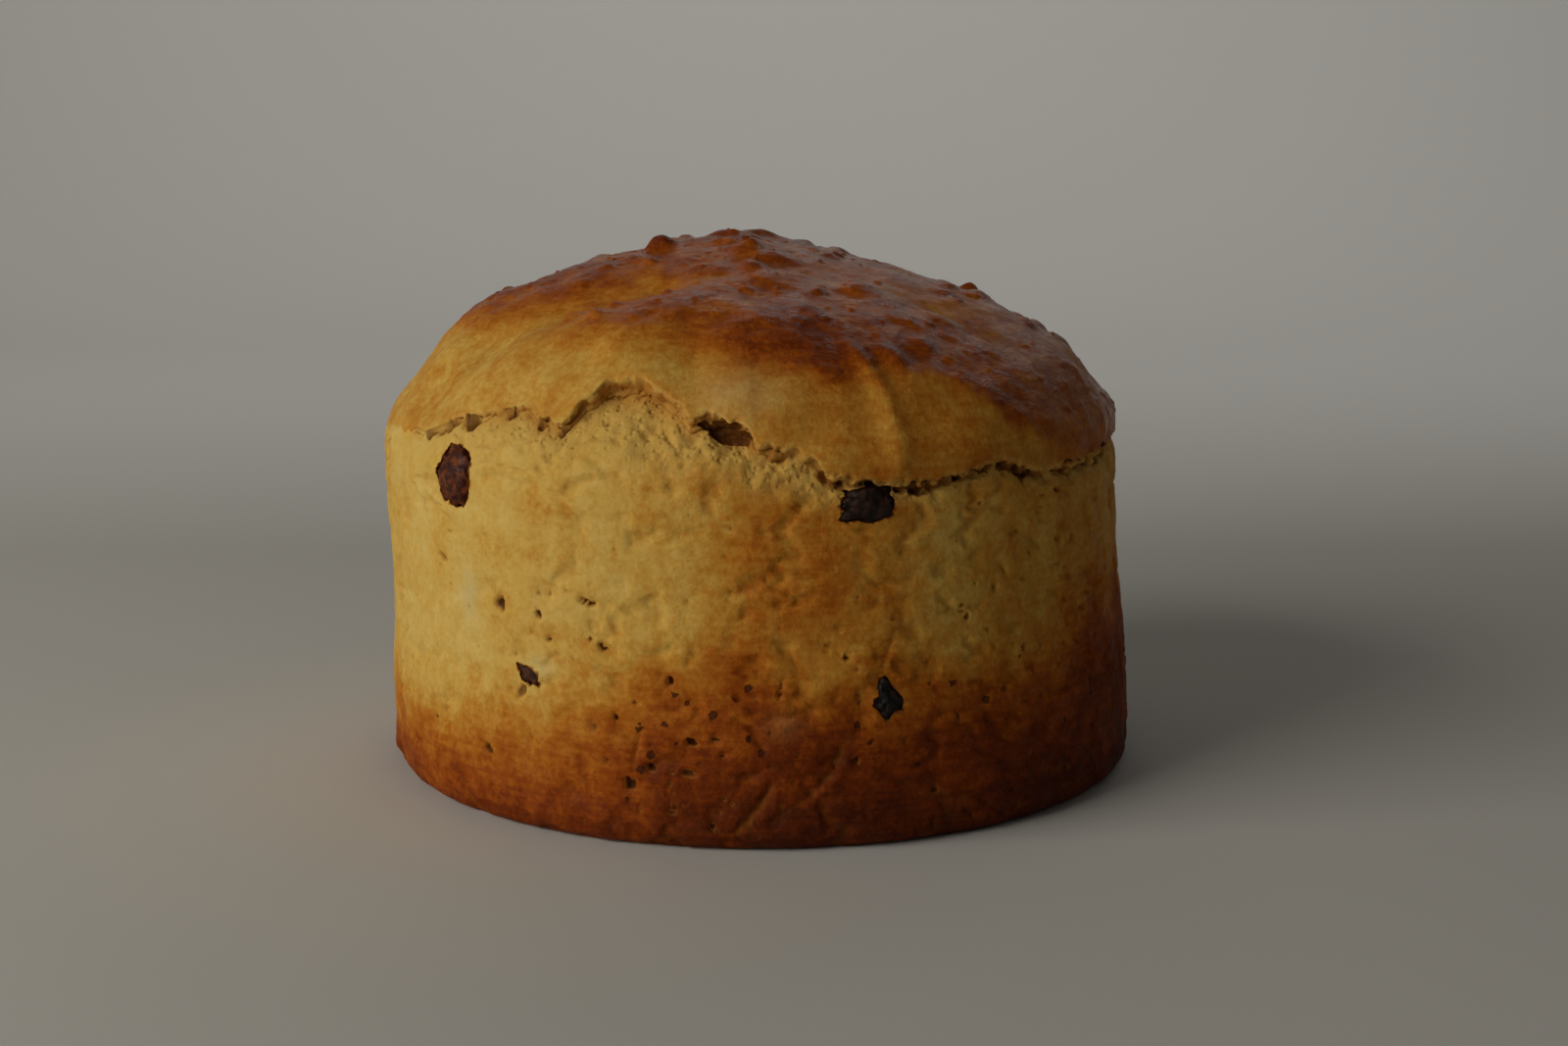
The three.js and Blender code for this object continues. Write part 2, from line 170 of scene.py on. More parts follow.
# Fine noise from about -1 to 1. The points are rows of x, y, z, already divided by the size of the features.
def fineNoise(points, shift=0.0):
    p = points + shift
    base = np.floor(p).astype(int)
    part = p - base
    ease = part**3 * (part * (part * 6 - 15) + 10)
    total = np.zeros(len(p))
    for corner in range(8):
        step = np.array([corner & 1, corner >> 1 & 1, corner >> 2])
        spot = (base + step) & 255
        pick = shuffled[shuffled[shuffled[spot[:, 0]] + spot[:, 1]] + spot[:, 2]]
        away = part - step
        weight = np.prod(np.where(step == 1, ease, 1 - ease), axis=1)
        total += weight * np.einsum("ij,ij->i", slopes[pick], away)
    return total * 1.6


def layeredNoise(points, layers, shift=0.0):
    total, strength = 0, 1.0
    for n in range(layers):
        total = total + strength * fineNoise(points * 2.03**n, shift + 11.7 * n)
        strength *= 0.5
    return total


# Soft crests where the noise crosses zero, from 0 to about 1.
def crestNoise(points, layers, shift=0.0):
    total, strength = 0, 0.6
    for n in range(layers):
        ridge = 1 - np.sqrt(fineNoise(points * 2.1**n, shift + 5.3 * n) ** 2 + 0.006) * 2
        total = total + strength * ridge
        strength *= 0.5
    return total


# Distance to the nearest of scattered points, one to each unit cube, from 0 at a point.
def bubbleNoise(points, shift=0.0):
    p = points + shift
    base = np.floor(p)
    best = np.full(len(p), 9.0)
    for n in range(27):
        spot = base + np.array([n % 3 - 1, n // 3 % 3 - 1, n // 9 - 1])
        x, y, z = spot[:, 0], spot[:, 1], spot[:, 2]
        centre = spot + np.stack([cell(x, y, z), cell(y + 5, z, x), cell(z, x + 9, y)], 1)
        best = np.minimum(best, ((p - centre) ** 2).sum(1))
    return np.sqrt(best)


# The tear between the wall and the risen dome.
def tearHeight(angle):
    x, y = onRing(angle)
    ring = np.stack([x, y, 0 * x], -1).reshape(-1, 3)
    ragged = 0.8 * fineNoise(ring / 3.1, 8.2) + 0.45 * fineNoise(ring / 1.3, 1.2)
    shared = 0.9 * slowNoise(x / 7, y / 7, 3)
    return aroundTable(angle, tearKnots, 1) + shared + ragged.reshape(np.shape(x))


def tearDepth(angle):
    return aroundTable(angle, tearKnots, 2)


def tearFade(angle):
    return aroundTable(angle, tearKnots, 3)


def lipOverhang(angle):
    return aroundTable(angle, tearKnots, 4)


# Broad folds and small knobs of the crust, in plan: middle in x and y, length, width, turn and height.
crustForms = [
    (-22, -54, 44, 11, -4, 1.8),
    (-34, -33, 40, 9, 8, -3.8),
    (-30, -8, 34, 12, 14, 0.4),
    (34, -30, 24, 10, -30, -1.3),
    (45, 12, 30, 13, 60, 0.5),
    (18, 30, 30, 9, -20, -2),
    (-40, 40, 26, 11, 40, -1.8),
    (-8, 58, 34, 12, 5, 1.5),
    (-4, -36, 17, 6, 24, 1.2),
    (-66, -8, 13, 8, 80, 2.2),
    (31, 4, 14, 14, 0, -1.9),
    (72, 4, 13, 13, 0, -1.8),
    (52, -8, 3.6, 3, 0, 2.2),
    (67, -4, 3.4, 3, 0, 2),
    (-24, -4, 3.8, 3, 20, 1.8),
    (-8, 4, 8, 6, 0, 0.6),
    (22, -34, 4, 3.4, 10, 1.5),
    (40, -42, 4.4, 3.6, -20, 1.4),
    (-52, 22, 4.4, 3.4, 0, 1.7),
    (8, 46, 4, 3.4, 30, 1.7),
]


def mound(x, y, form):
    middleX, middleY, length, width, turn, height = form
    c, s = math.cos(math.radians(turn)), math.sin(math.radians(turn))
    dx, dy = x - middleX, y - middleY
    along = (dx * c + dy * s) / length
    across = (-dx * s + dy * c) / width
    return height * np.exp(-along * along - across * across)


def crustRelief(x, y, z):
    lift = slowNoise(x / 15 + 3, y / 15, z / 15) + 0.5 * slowNoise(x / 8, y / 8 + 7, z / 8)
    for form in crustForms:
        lift = lift + mound(x, y, form)
    return lift


def pleat(angle, z):
    onPleat = np.exp(-(((angle - 20.5 + (z - 92) * 0.08) / 1.9) ** 2))
    return 1.1 * onPleat * clamp((z - 78) / 6) * clamp((110 - z) / 6)


def wallRelief(angle, z):
    x, y = onRing(angle)
    swellings = 0.55 * slowNoise(x / 34, y / 34 + 5, z / 26) + 0.3 * slowNoise(x / 13, y / 13, z / 11)
    waist = softSpot(angle, z, -95, 45, 38, 16, -1.1)
    return (swellings + waist) * clamp(z / 12)


# Bulges of the whole skin, level with each other above and below the tear.
def skinRelief(angle, radius, z):
    spot = place(angle, radius, z)
    onDome = smooth((z - loafShape["shoulderHeight"] + 6) / 22)
    return mix(wallRelief(angle, z), crustRelief(spot[:, 0], spot[:, 1], spot[:, 2]), onDome)


# A point and its slope on a smooth curve through the dome's outline, from 0 at the shoulder to 1 at the apex.
def domeCurve(share):
    points = np.array(domeOutline)
    first = 2 * points[0] - points[1] - (0.6, 0, 0)
    points = np.vstack([first, points, points[-2] * (-1, 1, 1)])
    t = clamp(share) * (len(domeOutline) - 1)
    n = np.minimum(np.floor(t).astype(int), len(domeOutline) - 2)
    u = (t - n)[..., None]
    a, b, c, d = points[n], points[n + 1], points[n + 2], points[n + 3]
    spot = 0.5 * (2 * b + (c - a) * u + (2 * a - 5 * b + 4 * c - d) * u**2 + (3 * b - a - 3 * c + d) * u**3)
    slope = 0.5 * ((c - a) + 2 * (2 * a - 5 * b + 4 * c - d) * u + 3 * (3 * b - a - 3 * c + d) * u**2)
    return spot[..., 0], spot[..., 1], np.arctan2(-slope[..., 0], slope[..., 1]), spot[..., 2]


domeShares = np.linspace(0, 1, 800)
domeHeights, domeMiddles = domeCurve(domeShares)[1], domeCurve(domeShares)[3]


# The undamaged outline: 0 to 1 climbs the wall, and 1 to 2 the dome. Gives radius, height and slope.
def outline(climb):
    s = loafShape
    wallZ = mix(s["cornerRadius"], s["shoulderHeight"], np.minimum(climb, 1))
    radius, z, rise, _ = domeCurve(climb - 1)
    onWall = climb <= 1
    return (
        np.where(onWall, s["baseRadius"] - s["wallTaper"] * wallZ, radius),
        np.where(onWall, wallZ, z),
        np.where(onWall, 0, rise),
    )


def climbAt(z):
    s = loafShape
    wall = (z - s["cornerRadius"]) / (s["shoulderHeight"] - s["cornerRadius"])
    return np.where(z <= s["shoulderHeight"], wall, 1 + np.interp(z, domeHeights, domeShares))


def middle(z):
    s = loafShape
    over = clamp((z - s["shoulderHeight"]) / (s["topHeight"] - s["shoulderHeight"]))
    x = np.where(z <= s["shoulderHeight"], s["lean"] * z, np.interp(z, domeHeights, domeMiddles))
    return x, s["backShift"] * over**2


def place(angle, radius, z):
    x, y = middle(z)
    return np.stack([x + radius * np.sin(np.radians(angle)), y - radius * np.cos(np.radians(angle)), z], -1)


def wallPoint(angle, climb):
    radius, z, rise = outline(climb)
    below = tearHeight(angle) - z
    torn = tearDepth(angle) * np.exp(-((below / tearFade(angle)) ** 2))
    lift = skinRelief(angle, radius, z) - torn
    return place(angle, radius + lift * np.cos(rise), z + lift * np.sin(rise))


def crustPoint(angle, climb):
    radius, z, rise = outline(climb)
    above = z - tearHeight(angle)
    bulge = lipOverhang(angle) * np.exp(-((above / 12) ** 2))
    lift = bulge + pleat(angle, z) + skinRelief(angle, radius, z)
    return place(angle, radius + lift * np.cos(rise), z + lift * np.sin(rise))


def lipPoint(angle, share):
    climb = climbAt(tearHeight(angle))
    outside = crustPoint(angle, climb + loafShape["lipStep"])
    point = mix(wallPoint(angle, climb), outside, smooth(share)[:, None])
    point[:, 2] -= loafShape["lipDroop"] * lipOverhang(angle) * np.sin(share * math.pi)
    return point


# Step 0 to 1 crosses the base, 1 to 2 rounds the corner, 2 to 3 climbs the wall, 3 to 4 the torn band,
# 4 to 5 goes out under the lip, and 5 to 6 climbs the crust.
def skinPoint(angle, step):
    s = loafShape
    point = np.zeros((len(step), 3))
    zone = np.minimum(np.floor(step), 5).astype(int)
    share = step - zone
    tearClimb = climbAt(tearHeight(angle))
    bandStart = tearClimb - s["bandShare"]
    flat = s["baseRadius"] - s["cornerRadius"]
    on = zone == 0
    point[on] = place(angle[on], flat * share[on], 0 * share[on])
    on = zone == 1
    bend = share[on] * math.pi / 2
    out = s["cornerRadius"] * np.sin(bend) * (1 - s["wallTaper"])
    point[on] = place(angle[on], flat + out, s["cornerRadius"] * (1 - np.cos(bend)))
    on = zone == 2
    point[on] = wallPoint(angle[on], share[on] * bandStart[on])
    on = zone == 3
    point[on] = wallPoint(angle[on], mix(bandStart[on], tearClimb[on], share[on]))
    on = zone == 4
    point[on] = lipPoint(angle[on], share[on])
    on = zone == 5
    point[on] = crustPoint(angle[on], mix(tearClimb[on] + s["lipStep"], 2.0, share[on]))
    return point


# Gas holes: angle, height, half width, half height, turn and depth.
namedHoles = [
    (-38.9, 51.0, 1.5, 1.5, 20, 1.8),
    (-31.8, 50.2, 1.0, 1.1, -30, 1.4),
    (-23.7, 53.9, 2.0, 0.6, -14, 1.0),
    (-30.2, 44.8, 0.45, 0.7, 0, 1.2),
    (-23.4, 45.9, 1.2, 0.4, -24, 1.1),
    (-21.6, 44.3, 1.3, 0.5, -38, 1.4),
    (-11.8, 38.1, 0.7, 0.8, 0, 1.6),
    (-20.0, 28.9, 0.5, 1.0, 10, 1.8),
    (-17.1, 32.6, 0.5, 0.5, 0, 0.9),
    (-9.2, 24.6, 1.7, 0.8, -24, 1.6),
    (-5.8, 25.4, 1.5, 0.7, -22, 1.2),
    (-15.1, 18.4, 1.1, 1.1, 0, 1.7),
    (-18.2, 14.4, 1.1, 1.6, 14, 1.7),
    (-9.8, 17.6, 1.8, 0.9, -14, 1.1),
    (-23.3, 26.4, 1.1, 0.8, 0, 0.9),
    (-42.3, 17.0, 1.4, 1.6, 12, 1.2),
    (-47.8, 7.4, 0.8, 0.7, 0, 1.3),
    (-17.0, 9.0, 0.5, 0.8, 0, 1.0),
    (-12.0, 10.0, 1.0, 0.5, -20, 1.0),
    (-6.8, 5.6, 0.8, 0.6, 0, 1.2),
    (3.4, 37.4, 0.5, 0.5, 0, 1.0),
    (3.3, 35.3, 0.6, 0.6, 0, 1.1),
    (-0.2, 34.9, 0.9, 0.5, 10, 0.7),
    (12.5, 43.0, 0.8, 0.6, 0, 1.2),
    (29.2, 27.1, 0.5, 1.0, 10, 1.2),
    (41.8, 15.0, 0.7, 0.6, 0, 1.2),
    (45.9, 10.7, 0.7, 0.8, 0, 1.2),
    (51.0, 20.6, 1.0, 1.5, 10, 1.5),
    (58.0, 26.3, 0.7, 2.2, 12, 1.4),
    (67.2, 18.2, 1.1, 1.7, 0, 1.5),
    (45.6, 28.1, 0.6, 1.2, 24, 1.2),
    (49.5, 34.4, 0.8, 0.5, 0, 1.1),
    (53.5, 32.5, 0.8, 0.8, 0, 1.2),
    (13.5, 20.2, 0.6, 0.9, 12, 1.2),
    (25.1, 11.7, 0.8, 1.1, 0, 0.9),
    (30.6, 52.2, 0.5, 0.6, 0, 0.9),
    (31.4, 49.4, 0.8, 0.6, 20, 1.1),
    (54.9, 62.4, 0.9, 1.2, 10, 0.8),
    (51.0, 63.0, 1.4, 1.0, -10, 0.6),
    (-35.3, 32.2, 2.2, 1.1, 50, 1.0),
    (-51.9, 58.9, 2.4, 0.6, -26, 0.9),
    (-122, 24.0, 1.8, 1.4, 0, 1.5),
    (122, 20.0, 1.6, 1.9, 10, 1.5),
]

# Groups of small holes, scattered by a seeded draw: middle, spread, count, and the range of sizes.
holeGroups = [
    {"at": (-12, 20), "spread": (8, 10), "count": 46, "size": (0.25, 0.7), "depth": 0.9},
    {"at": (-34, 46), "spread": (9, 10), "count": 12, "size": (0.25, 0.55), "depth": 0.7},
    {"at": (20, 34), "spread": (18, 16), "count": 34, "size": (0.25, 0.55), "depth": 0.7},
    {"at": (50, 30), "spread": (14, 18), "count": 34, "size": (0.35, 0.9), "depth": 1.0},
    {"at": (44, 62), "spread": (16, 9), "count": 16, "size": (0.35, 0.8), "depth": 0.7},
    {"at": (-5, 62), "spread": (30, 9), "count": 24, "size": (0.2, 0.5), "depth": 0.5},
    {"at": (118, 24), "spread": (22, 14), "count": 60, "size": (0.3, 1.2), "depth": 1.2},
    {"at": (160, 30), "spread": (24, 22), "count": 50, "size": (0.3, 1.1), "depth": 1.1},
    {"at": (-130, 28), "spread": (26, 18), "count": 56, "size": (0.3, 1.2), "depth": 1.1},
    {"at": (-88, 34), "spread": (20, 22), "count": 30, "size": (0.3, 0.8), "depth": 0.8},
    {"at": (90, 56), "spread": (30, 14), "count": 26, "size": (0.3, 0.8), "depth": 0.8},
    {"at": (-150, 62), "spread": (40, 10), "count": 26, "size": (0.3, 0.7), "depth": 0.7},
]


def allHoles():
    draw = random.Random(21)
    holes = list(namedHoles)
    for group in holeGroups:
        low, high = group["size"]
        for _ in range(group["count"]):
            size = low + (high - low) * draw.random() ** 2.2
            stretch = draw.uniform(0.7, 1.7)
            angle = draw.gauss(group["at"][0], group["spread"][0])
            height = min(74, max(4, draw.gauss(group["at"][1], group["spread"][1])))
            halfWide, halfHigh = size * stretch, size / stretch**0.4
            holes.append((angle, height, halfWide, halfHigh, draw.uniform(-35, 35), group["depth"]))
    return holes


# Creases where folds of dough meet: points by angle and height, then width and depth.
creases = [
    {"path": [(-34.2, 24.0), (-33.4, 20.0), (-31.2, 13.0), (-29.0, 3.5)], "width": 0.6, "depth": 0.5},
    {"path": [(-15.9, 27.0), (-16.9, 22.5), (-17.4, 18.6)], "width": 0.9, "depth": 0.8},
    {"path": [(1.6, 14.8), (0.2, 10.8), (-3.4, 4.6)], "width": 1.2, "depth": 1.0},
    {
        "path": [(13.4, 25.6), (11.4, 23.4), (10.2, 17.6), (7.4, 13.4), (3.2, 9.0), (1.6, 7.0)],
        "width": 0.9,
        "depth": 0.6,
    },
    {"path": [(1.8, 30.0), (4.0, 30.6), (7.2, 31.4)], "width": 0.8, "depth": 0.7},
    {"path": [(-51.6, 29.6), (-52.6, 25.0), (-52.7, 21.0)], "width": 0.6, "depth": 0.5},
    {"path": [(-59.2, 73.4), (-57.4, 70.6), (-55.4, 65.0), (-53.8, 60.0)], "width": 0.7, "depth": 0.6},
    {"path": [(20.0, 48.4), (19.0, 44.0), (17.8, 41.0)], "width": 0.6, "depth": 0.45},
    {"path": [(22.0, 48.6), (27.0, 48.4), (31.0, 48.0), (36.0, 46.0)], "width": 0.6, "depth": 0.35},
    {"path": [(-36.0, 33.6), (-37.6, 31.0), (-38.6, 30.0)], "width": 1.0, "depth": 0.6},
    {"path": [(-29.4, 27.0), (-26.0, 30.4), (-23.4, 33.6)], "width": 1.2, "depth": 0.35},
    {"path": [(96.0, 30.0), (99.0, 22.0), (98.0, 12.0)], "width": 1.0, "depth": 0.7},
    {"path": [(136.0, 26.0), (141.0, 18.0), (150.0, 12.0)], "width": 1.1, "depth": 0.8},
    {"path": [(-112.0, 34.0), (-117.0, 24.0), (-116.0, 8.0)], "width": 1.0, "depth": 0.7},
    {"path": [(-160.0, 52.0), (-152.0, 50.0), (-144.0, 52.0)], "width": 0.8, "depth": 0.5},
]


def sinkHoles(angle, height, points):
    sunk = np.zeros(len(angle))
    wobble = fineNoise(points / 1.3, 4.0) * 0.28 + fineNoise(points / 0.7, 9.0) * 0.12
    for holeAngle, holeHeight, halfWide, halfHigh, turn, depth in allHoles():
        reach = 1.6 * max(halfWide, halfHigh)
        dx = alongWall(turnFrom(angle, holeAngle))
        near = np.flatnonzero((np.abs(dx) < reach) & (np.abs(height - holeHeight) < reach))
        if not len(near):
            continue
        c, s = math.cos(math.radians(turn)), math.sin(math.radians(turn))
        x, y = dx[near], height[near] - holeHeight
        far = np.hypot((x * c + y * s) / halfWide, (-x * s + y * c) / halfHigh) + wobble[near]
        pit = depth * smooth((1.12 - far) / 0.42)
        sunk[near] = np.maximum(sunk[near], pit)
    return sunk


# How thick the small pores are at each point, from 0 to 1.
def poreShare(angle, height):
    share = np.zeros(len(angle))
    for group in holeGroups:
        (middleAngle, middleHeight), (wide, high) = group["at"], group["spread"]
        amount = 1.6 * group["count"] / (wide * high)
        share += softSpot(angle, height, middleAngle, middleHeight, 1.5 * wide, 1.5 * high, amount)
    return clamp(share)


def pressCreases(angle, height, points):
    sunk = np.zeros(len(angle))
    x = alongWall(angle)
    wander = fineNoise(points / 3.0, 2.0) * 0.5
    for crease in creases:
        path = [(alongWall(a), h) for a, h in crease["path"]]
        for (ax, ay), (bx, by) in zip(path, path[1:]):
            length = (bx - ax) ** 2 + (by - ay) ** 2
            t = clamp(((x - ax) * (bx - ax) + (height - ay) * (by - ay)) / length)
            side = ((bx - ax) * (height - ay) - (by - ay) * (x - ax)) / math.sqrt(length) + wander
            far = np.hypot(x - mix(ax, bx, t), height - mix(ay, by, t))
            far = np.where((t > 0) & (t < 1), np.abs(side), far)
            groove = crease["depth"] * np.exp(-((far / crease["width"]) ** 2))
            lap = -0.35 * crease["depth"] * np.exp(-((far / (2.6 * crease["width"])) ** 2)) * (side > 0)
            sunk = np.where(np.abs(groove + lap) > np.abs(sunk), groove + lap, sunk)
    return sunk


print("helpers ready")

# Raisins: the same seats, half-sizes and shapes as their solids, how far each is drawn out to four corners,
# and how red it is.
raisinFields = ("name", "angle", "height", "half", "turn", "sunk", "point", "red")
raisinRows = [
    ("raisin_left", -47.6, 77.8, (6.6, 6.8, 3.8), 12, 2.1, 0, 0.8),
    ("raisin_middle", 16.6, 75.4, (8, 4.9, 3.9), -4, 3.0, 0, 0.1),
    ("raisin_low", 18.1, 32.4, (4, 5.2, 3.2), -5, 2.6, 0.16, 0.0),
    ("raisin_small", -34, 36.2, (4.6, 2.6, 2.6), 35, 2.2, 0, 0.3),
    ("raisin_right", 104, 58, (5, 3.9, 3.2), 22, 2.6, 0, 0.5),
    ("raisin_back", 171, 80.5, (5.4, 4.2, 3.3), 10, 2.7, 0, 0.2),
    ("raisin_back_low", -148, 41, (4, 4.9, 3.1), -35, 2.7, 0, 0.8),
    ("raisin_back_left", -104, 66, (4.8, 3.6, 3.1), -12, 2.8, 0, 0.4),
]
raisins = [dict(zip(raisinFields, row)) for row in raisinRows]


def newPiece(name, bm):
    mesh = bpy.data.meshes.new(name)
    bm.to_mesh(mesh)
    bm.free()
    piece = bpy.data.objects.new(name, mesh)
    bpy.context.scene.collection.objects.link(piece)
    mesh.shade_smooth()
    return piece


def readRows(items, name):
    flat = np.empty(len(items) * 3, np.float32)
    items.foreach_get(name, flat)
    return flat.reshape(-1, 3).astype(float)


def writePoints(mesh, points):
    mesh.vertices.foreach_set("co", points.astype(np.float32).ravel())
    mesh.update()


def writeAttribute(mesh, name, values):
    mesh.attributes.new(name, "FLOAT", "POINT").data.foreach_set("value", values.astype(np.float32))


def bakeModifiers(piece):
    bpy.context.view_layer.update()
    graph = bpy.context.evaluated_depsgraph_get()
    made = bpy.data.meshes.new_from_object(piece.evaluated_get(graph), depsgraph=graph)
    piece.modifiers.clear()
    old = piece.data
    piece.data = made
    bpy.data.meshes.remove(old)


# A profile line is spun into the loaf's skin. Its height counts the steps, so that every point knows its
# place.
def spinSkin():
    bm = bmesh.new()
    steps = []
    for zone, rows in enumerate(loafShape["rows"].values()):
        steps += [zone + k / rows for k in range(rows)]
    steps.append(6.0)
    profile = [bm.verts.new((0 if s in (0, 6) else 1, 0, s)) for s in steps]
    edges = [bm.edges.new(pair) for pair in zip(profile, profile[1:])]
    bmesh.ops.spin(
        bm,
        geom=profile + edges,
        axis=(0, 0, 1),
        cent=(0, 0, 0),
        steps=loafShape["around"],
        angle=2 * math.pi,
        use_merge=True,
    )
    poles = [v for v in bm.verts if v.co.xy.length < 0.01]
    bmesh.ops.remove_doubles(bm, verts=poles, dist=1e-5)
    bmesh.ops.recalc_face_normals(bm, faces=bm.faces)
    skin = newPiece("loaf_skin", bm)
    finer = skin.modifiers.new("finer", "SUBSURF")
    finer.subdivision_type = "SIMPLE"
    finer.levels = finer.render_levels = 2
    bakeModifiers(skin)
    return skin


# Soft patches of browner (plus) or paler (minus) crust: angle, height, reach in degrees and in millimetres,
# and amount.
wallPatches = [
    (9, 60, 11, 20, 0.16),
    (30, 62, 13, 15, -0.05),
    (-20, 60, 9, 10, -0.04),
    (-33, 39, 4, 3, -0.1),
    (62, 52, 12, 22, 0.07),
    (-76, 60, 16, 24, 0.05),
    (120, 58, 20, 20, 0.1),
    (170, 55, 24, 18, 0.06),
    (-130, 56, 24, 16, 0.08),
]
# Pale floury marks, in the same terms.
chalkMarks = [
    (-45.5, 52, 2.0, 6.5, 1.0),
    (-31.6, 38.6, 2.2, 2.2, 0.9),
    (-3, 99, 7, 4, 0.5),
    (3.5, 28.5, 2.5, 2.5, 0.2),
]
# How high the browned foot reaches: angle and height.
footKnots = [
    (-180, 44), (-140, 40), (-110, 36), (-90, 42), (-66, 41), (-52, 40), (-42, 41), (-30, 44),
    (-20, 48), (-8, 51), (4, 51), (14, 49), (24, 48), (36, 48), (46, 52), (58, 58), (72, 60), (92, 55),
    (115, 46), (150, 42),
]  # fmt: skip
# Where the dome's brown cap begins: angle, height, and how brown the cap is.
capKnots = [
    (-180, 101, 0.72), (-135, 103, 0.7), (-90, 106, 0.62), (-62, 107, 0.54), (-49, 107.5, 0.5),
    (-30, 108, 0.52), (-20, 109, 0.5), (-10, 106.5, 0.54), (1, 104.5, 0.67), (8, 104, 0.75),
    (13, 101, 0.76), (20, 103.5, 0.72), (29, 103, 0.7), (37, 97, 0.68), (43, 90, 0.66), (52, 82, 0.58),
    (64, 79, 0.58), (80, 82, 0.64), (110, 92, 0.7), (145, 97, 0.72),
]  # fmt: skip


# How far the torn crumb shows at each point, from 0 on the skin to 1.
def crumbShare(angle, height, step):
    below = tearHeight(angle) - height
    onWall = smooth(1.3 - below / (1.45 * tearFade(angle)))
    onLip = np.where(step < 5, 1, 0.7 * smooth(1.1 + below / 1.7))
    torn = smooth((tearDepth(angle) - 0.35) / 0.8)
    return np.where(step < 4, onWall, onLip) * torn


# The browning from 0, pale dough, to 1, the darkest crust.
def browning(points, angle, height, step, relief):
    patchy = layeredNoise(points / 20, 3, shift=5.5)
    fine = layeredNoise(points / 4.5, 3, shift=2.5)
    footTop = aroundTable(angle, footKnots, 1) + 4.5 * patchy
    side = 0.13 + 0.08 * smooth((angle + 52) / 24) + 0.13 * smooth((angle + 26) / 30)
    side = np.where(np.abs(angle) > 110, mix(side, 0.24, smooth((np.abs(angle) - 110) / 40)), side)
    foot = 0.44 + 0.07 * rightward(angle, -40, 60)
    wall = side + foot * smooth((footTop - height) / 34) + 0.16 * smooth((16 - height) / 14)
    for patch in wallPatches:
        wall += softSpot(angle, height, *patch)
    bands = fineNoise(points / (7, 7, 60), 6.6)
    wall += 0.05 * patchy + 0.04 * fine + 0.05 * bands
    capEdge = aroundTable(angle, capKnots, 1) + 2.4 * patchy + 1.2 * fine
    # near the apex, where all angles meet, the cap is as brown on every side
    cap = mix(aroundTable(angle, capKnots, 2), 0.67, smooth((height - 109) / 13))
    onCap = smooth((height - capEdge + 4) / mix(10, 8, rightward(angle, -30, 40)))
    dough = 0.31 + 0.1 * rightward(angle, -30, 50)
    dough += 0.04 * smooth((86 - height) / 6) * rightward(angle, -20, 20)
    dome = mix(dough, cap, onCap)
    dome += 0.035 * patchy + 0.03 * fine + onCap * (0.04 * np.clip(relief, -2, 3.4) + 0.04 * patchy)
    return clamp(np.where(step < 4.5, wall, dome))


# Blisters of the glossy crust: seeded smooth lumps, thickest on the right of the top.
blisters = {"count": 130, "spread": 74, "wide": (1.3, 3.4), "high": (0.4, 1.5)}


def raiseBlisters(points):
    draw = random.Random(5)
    lift = np.zeros(len(points))
    for _ in range(blisters["count"]):
        turn, far = draw.uniform(0, 2 * math.pi), blisters["spread"] * draw.random() ** 0.6
        x, y = far * math.cos(turn), far * math.sin(turn)
        if x < -20 and draw.random() < 0.6:
            continue
        wide, high = draw.uniform(*blisters["wide"]), draw.uniform(*blisters["high"])
        stretch, lean = draw.uniform(1, 1.8), draw.uniform(0, math.pi)
        dx, dy = points[:, 0] - x, points[:, 1] - y
        near = np.flatnonzero((np.abs(dx) < 3 * wide * stretch) & (np.abs(dy) < 3 * wide * stretch))
        c, s = math.cos(lean), math.sin(lean)
        u = (dx[near] * c + dy[near] * s) / (wide * stretch)
        v = (dy[near] * c - dx[near] * s) / wide
        lift[near] += high * np.exp(-((u * u + v * v) ** 1.4))
    return lift


# How high or deep the fine relief of the skin is, in millimetres.
fineRelief = {
    "lumps": 0.5,
    "bigBubbles": 0.8,
    "smallBubbles": 0.4,
    "crack": 2.0,
    "rips": 1.5,
    "wrinkles": 0.13,
    "grain": 1.5,
    "slits": 0.8,
    "foot": 0.6,
    "flakes": 0.4,
    "crustLumps": 0.3,
}


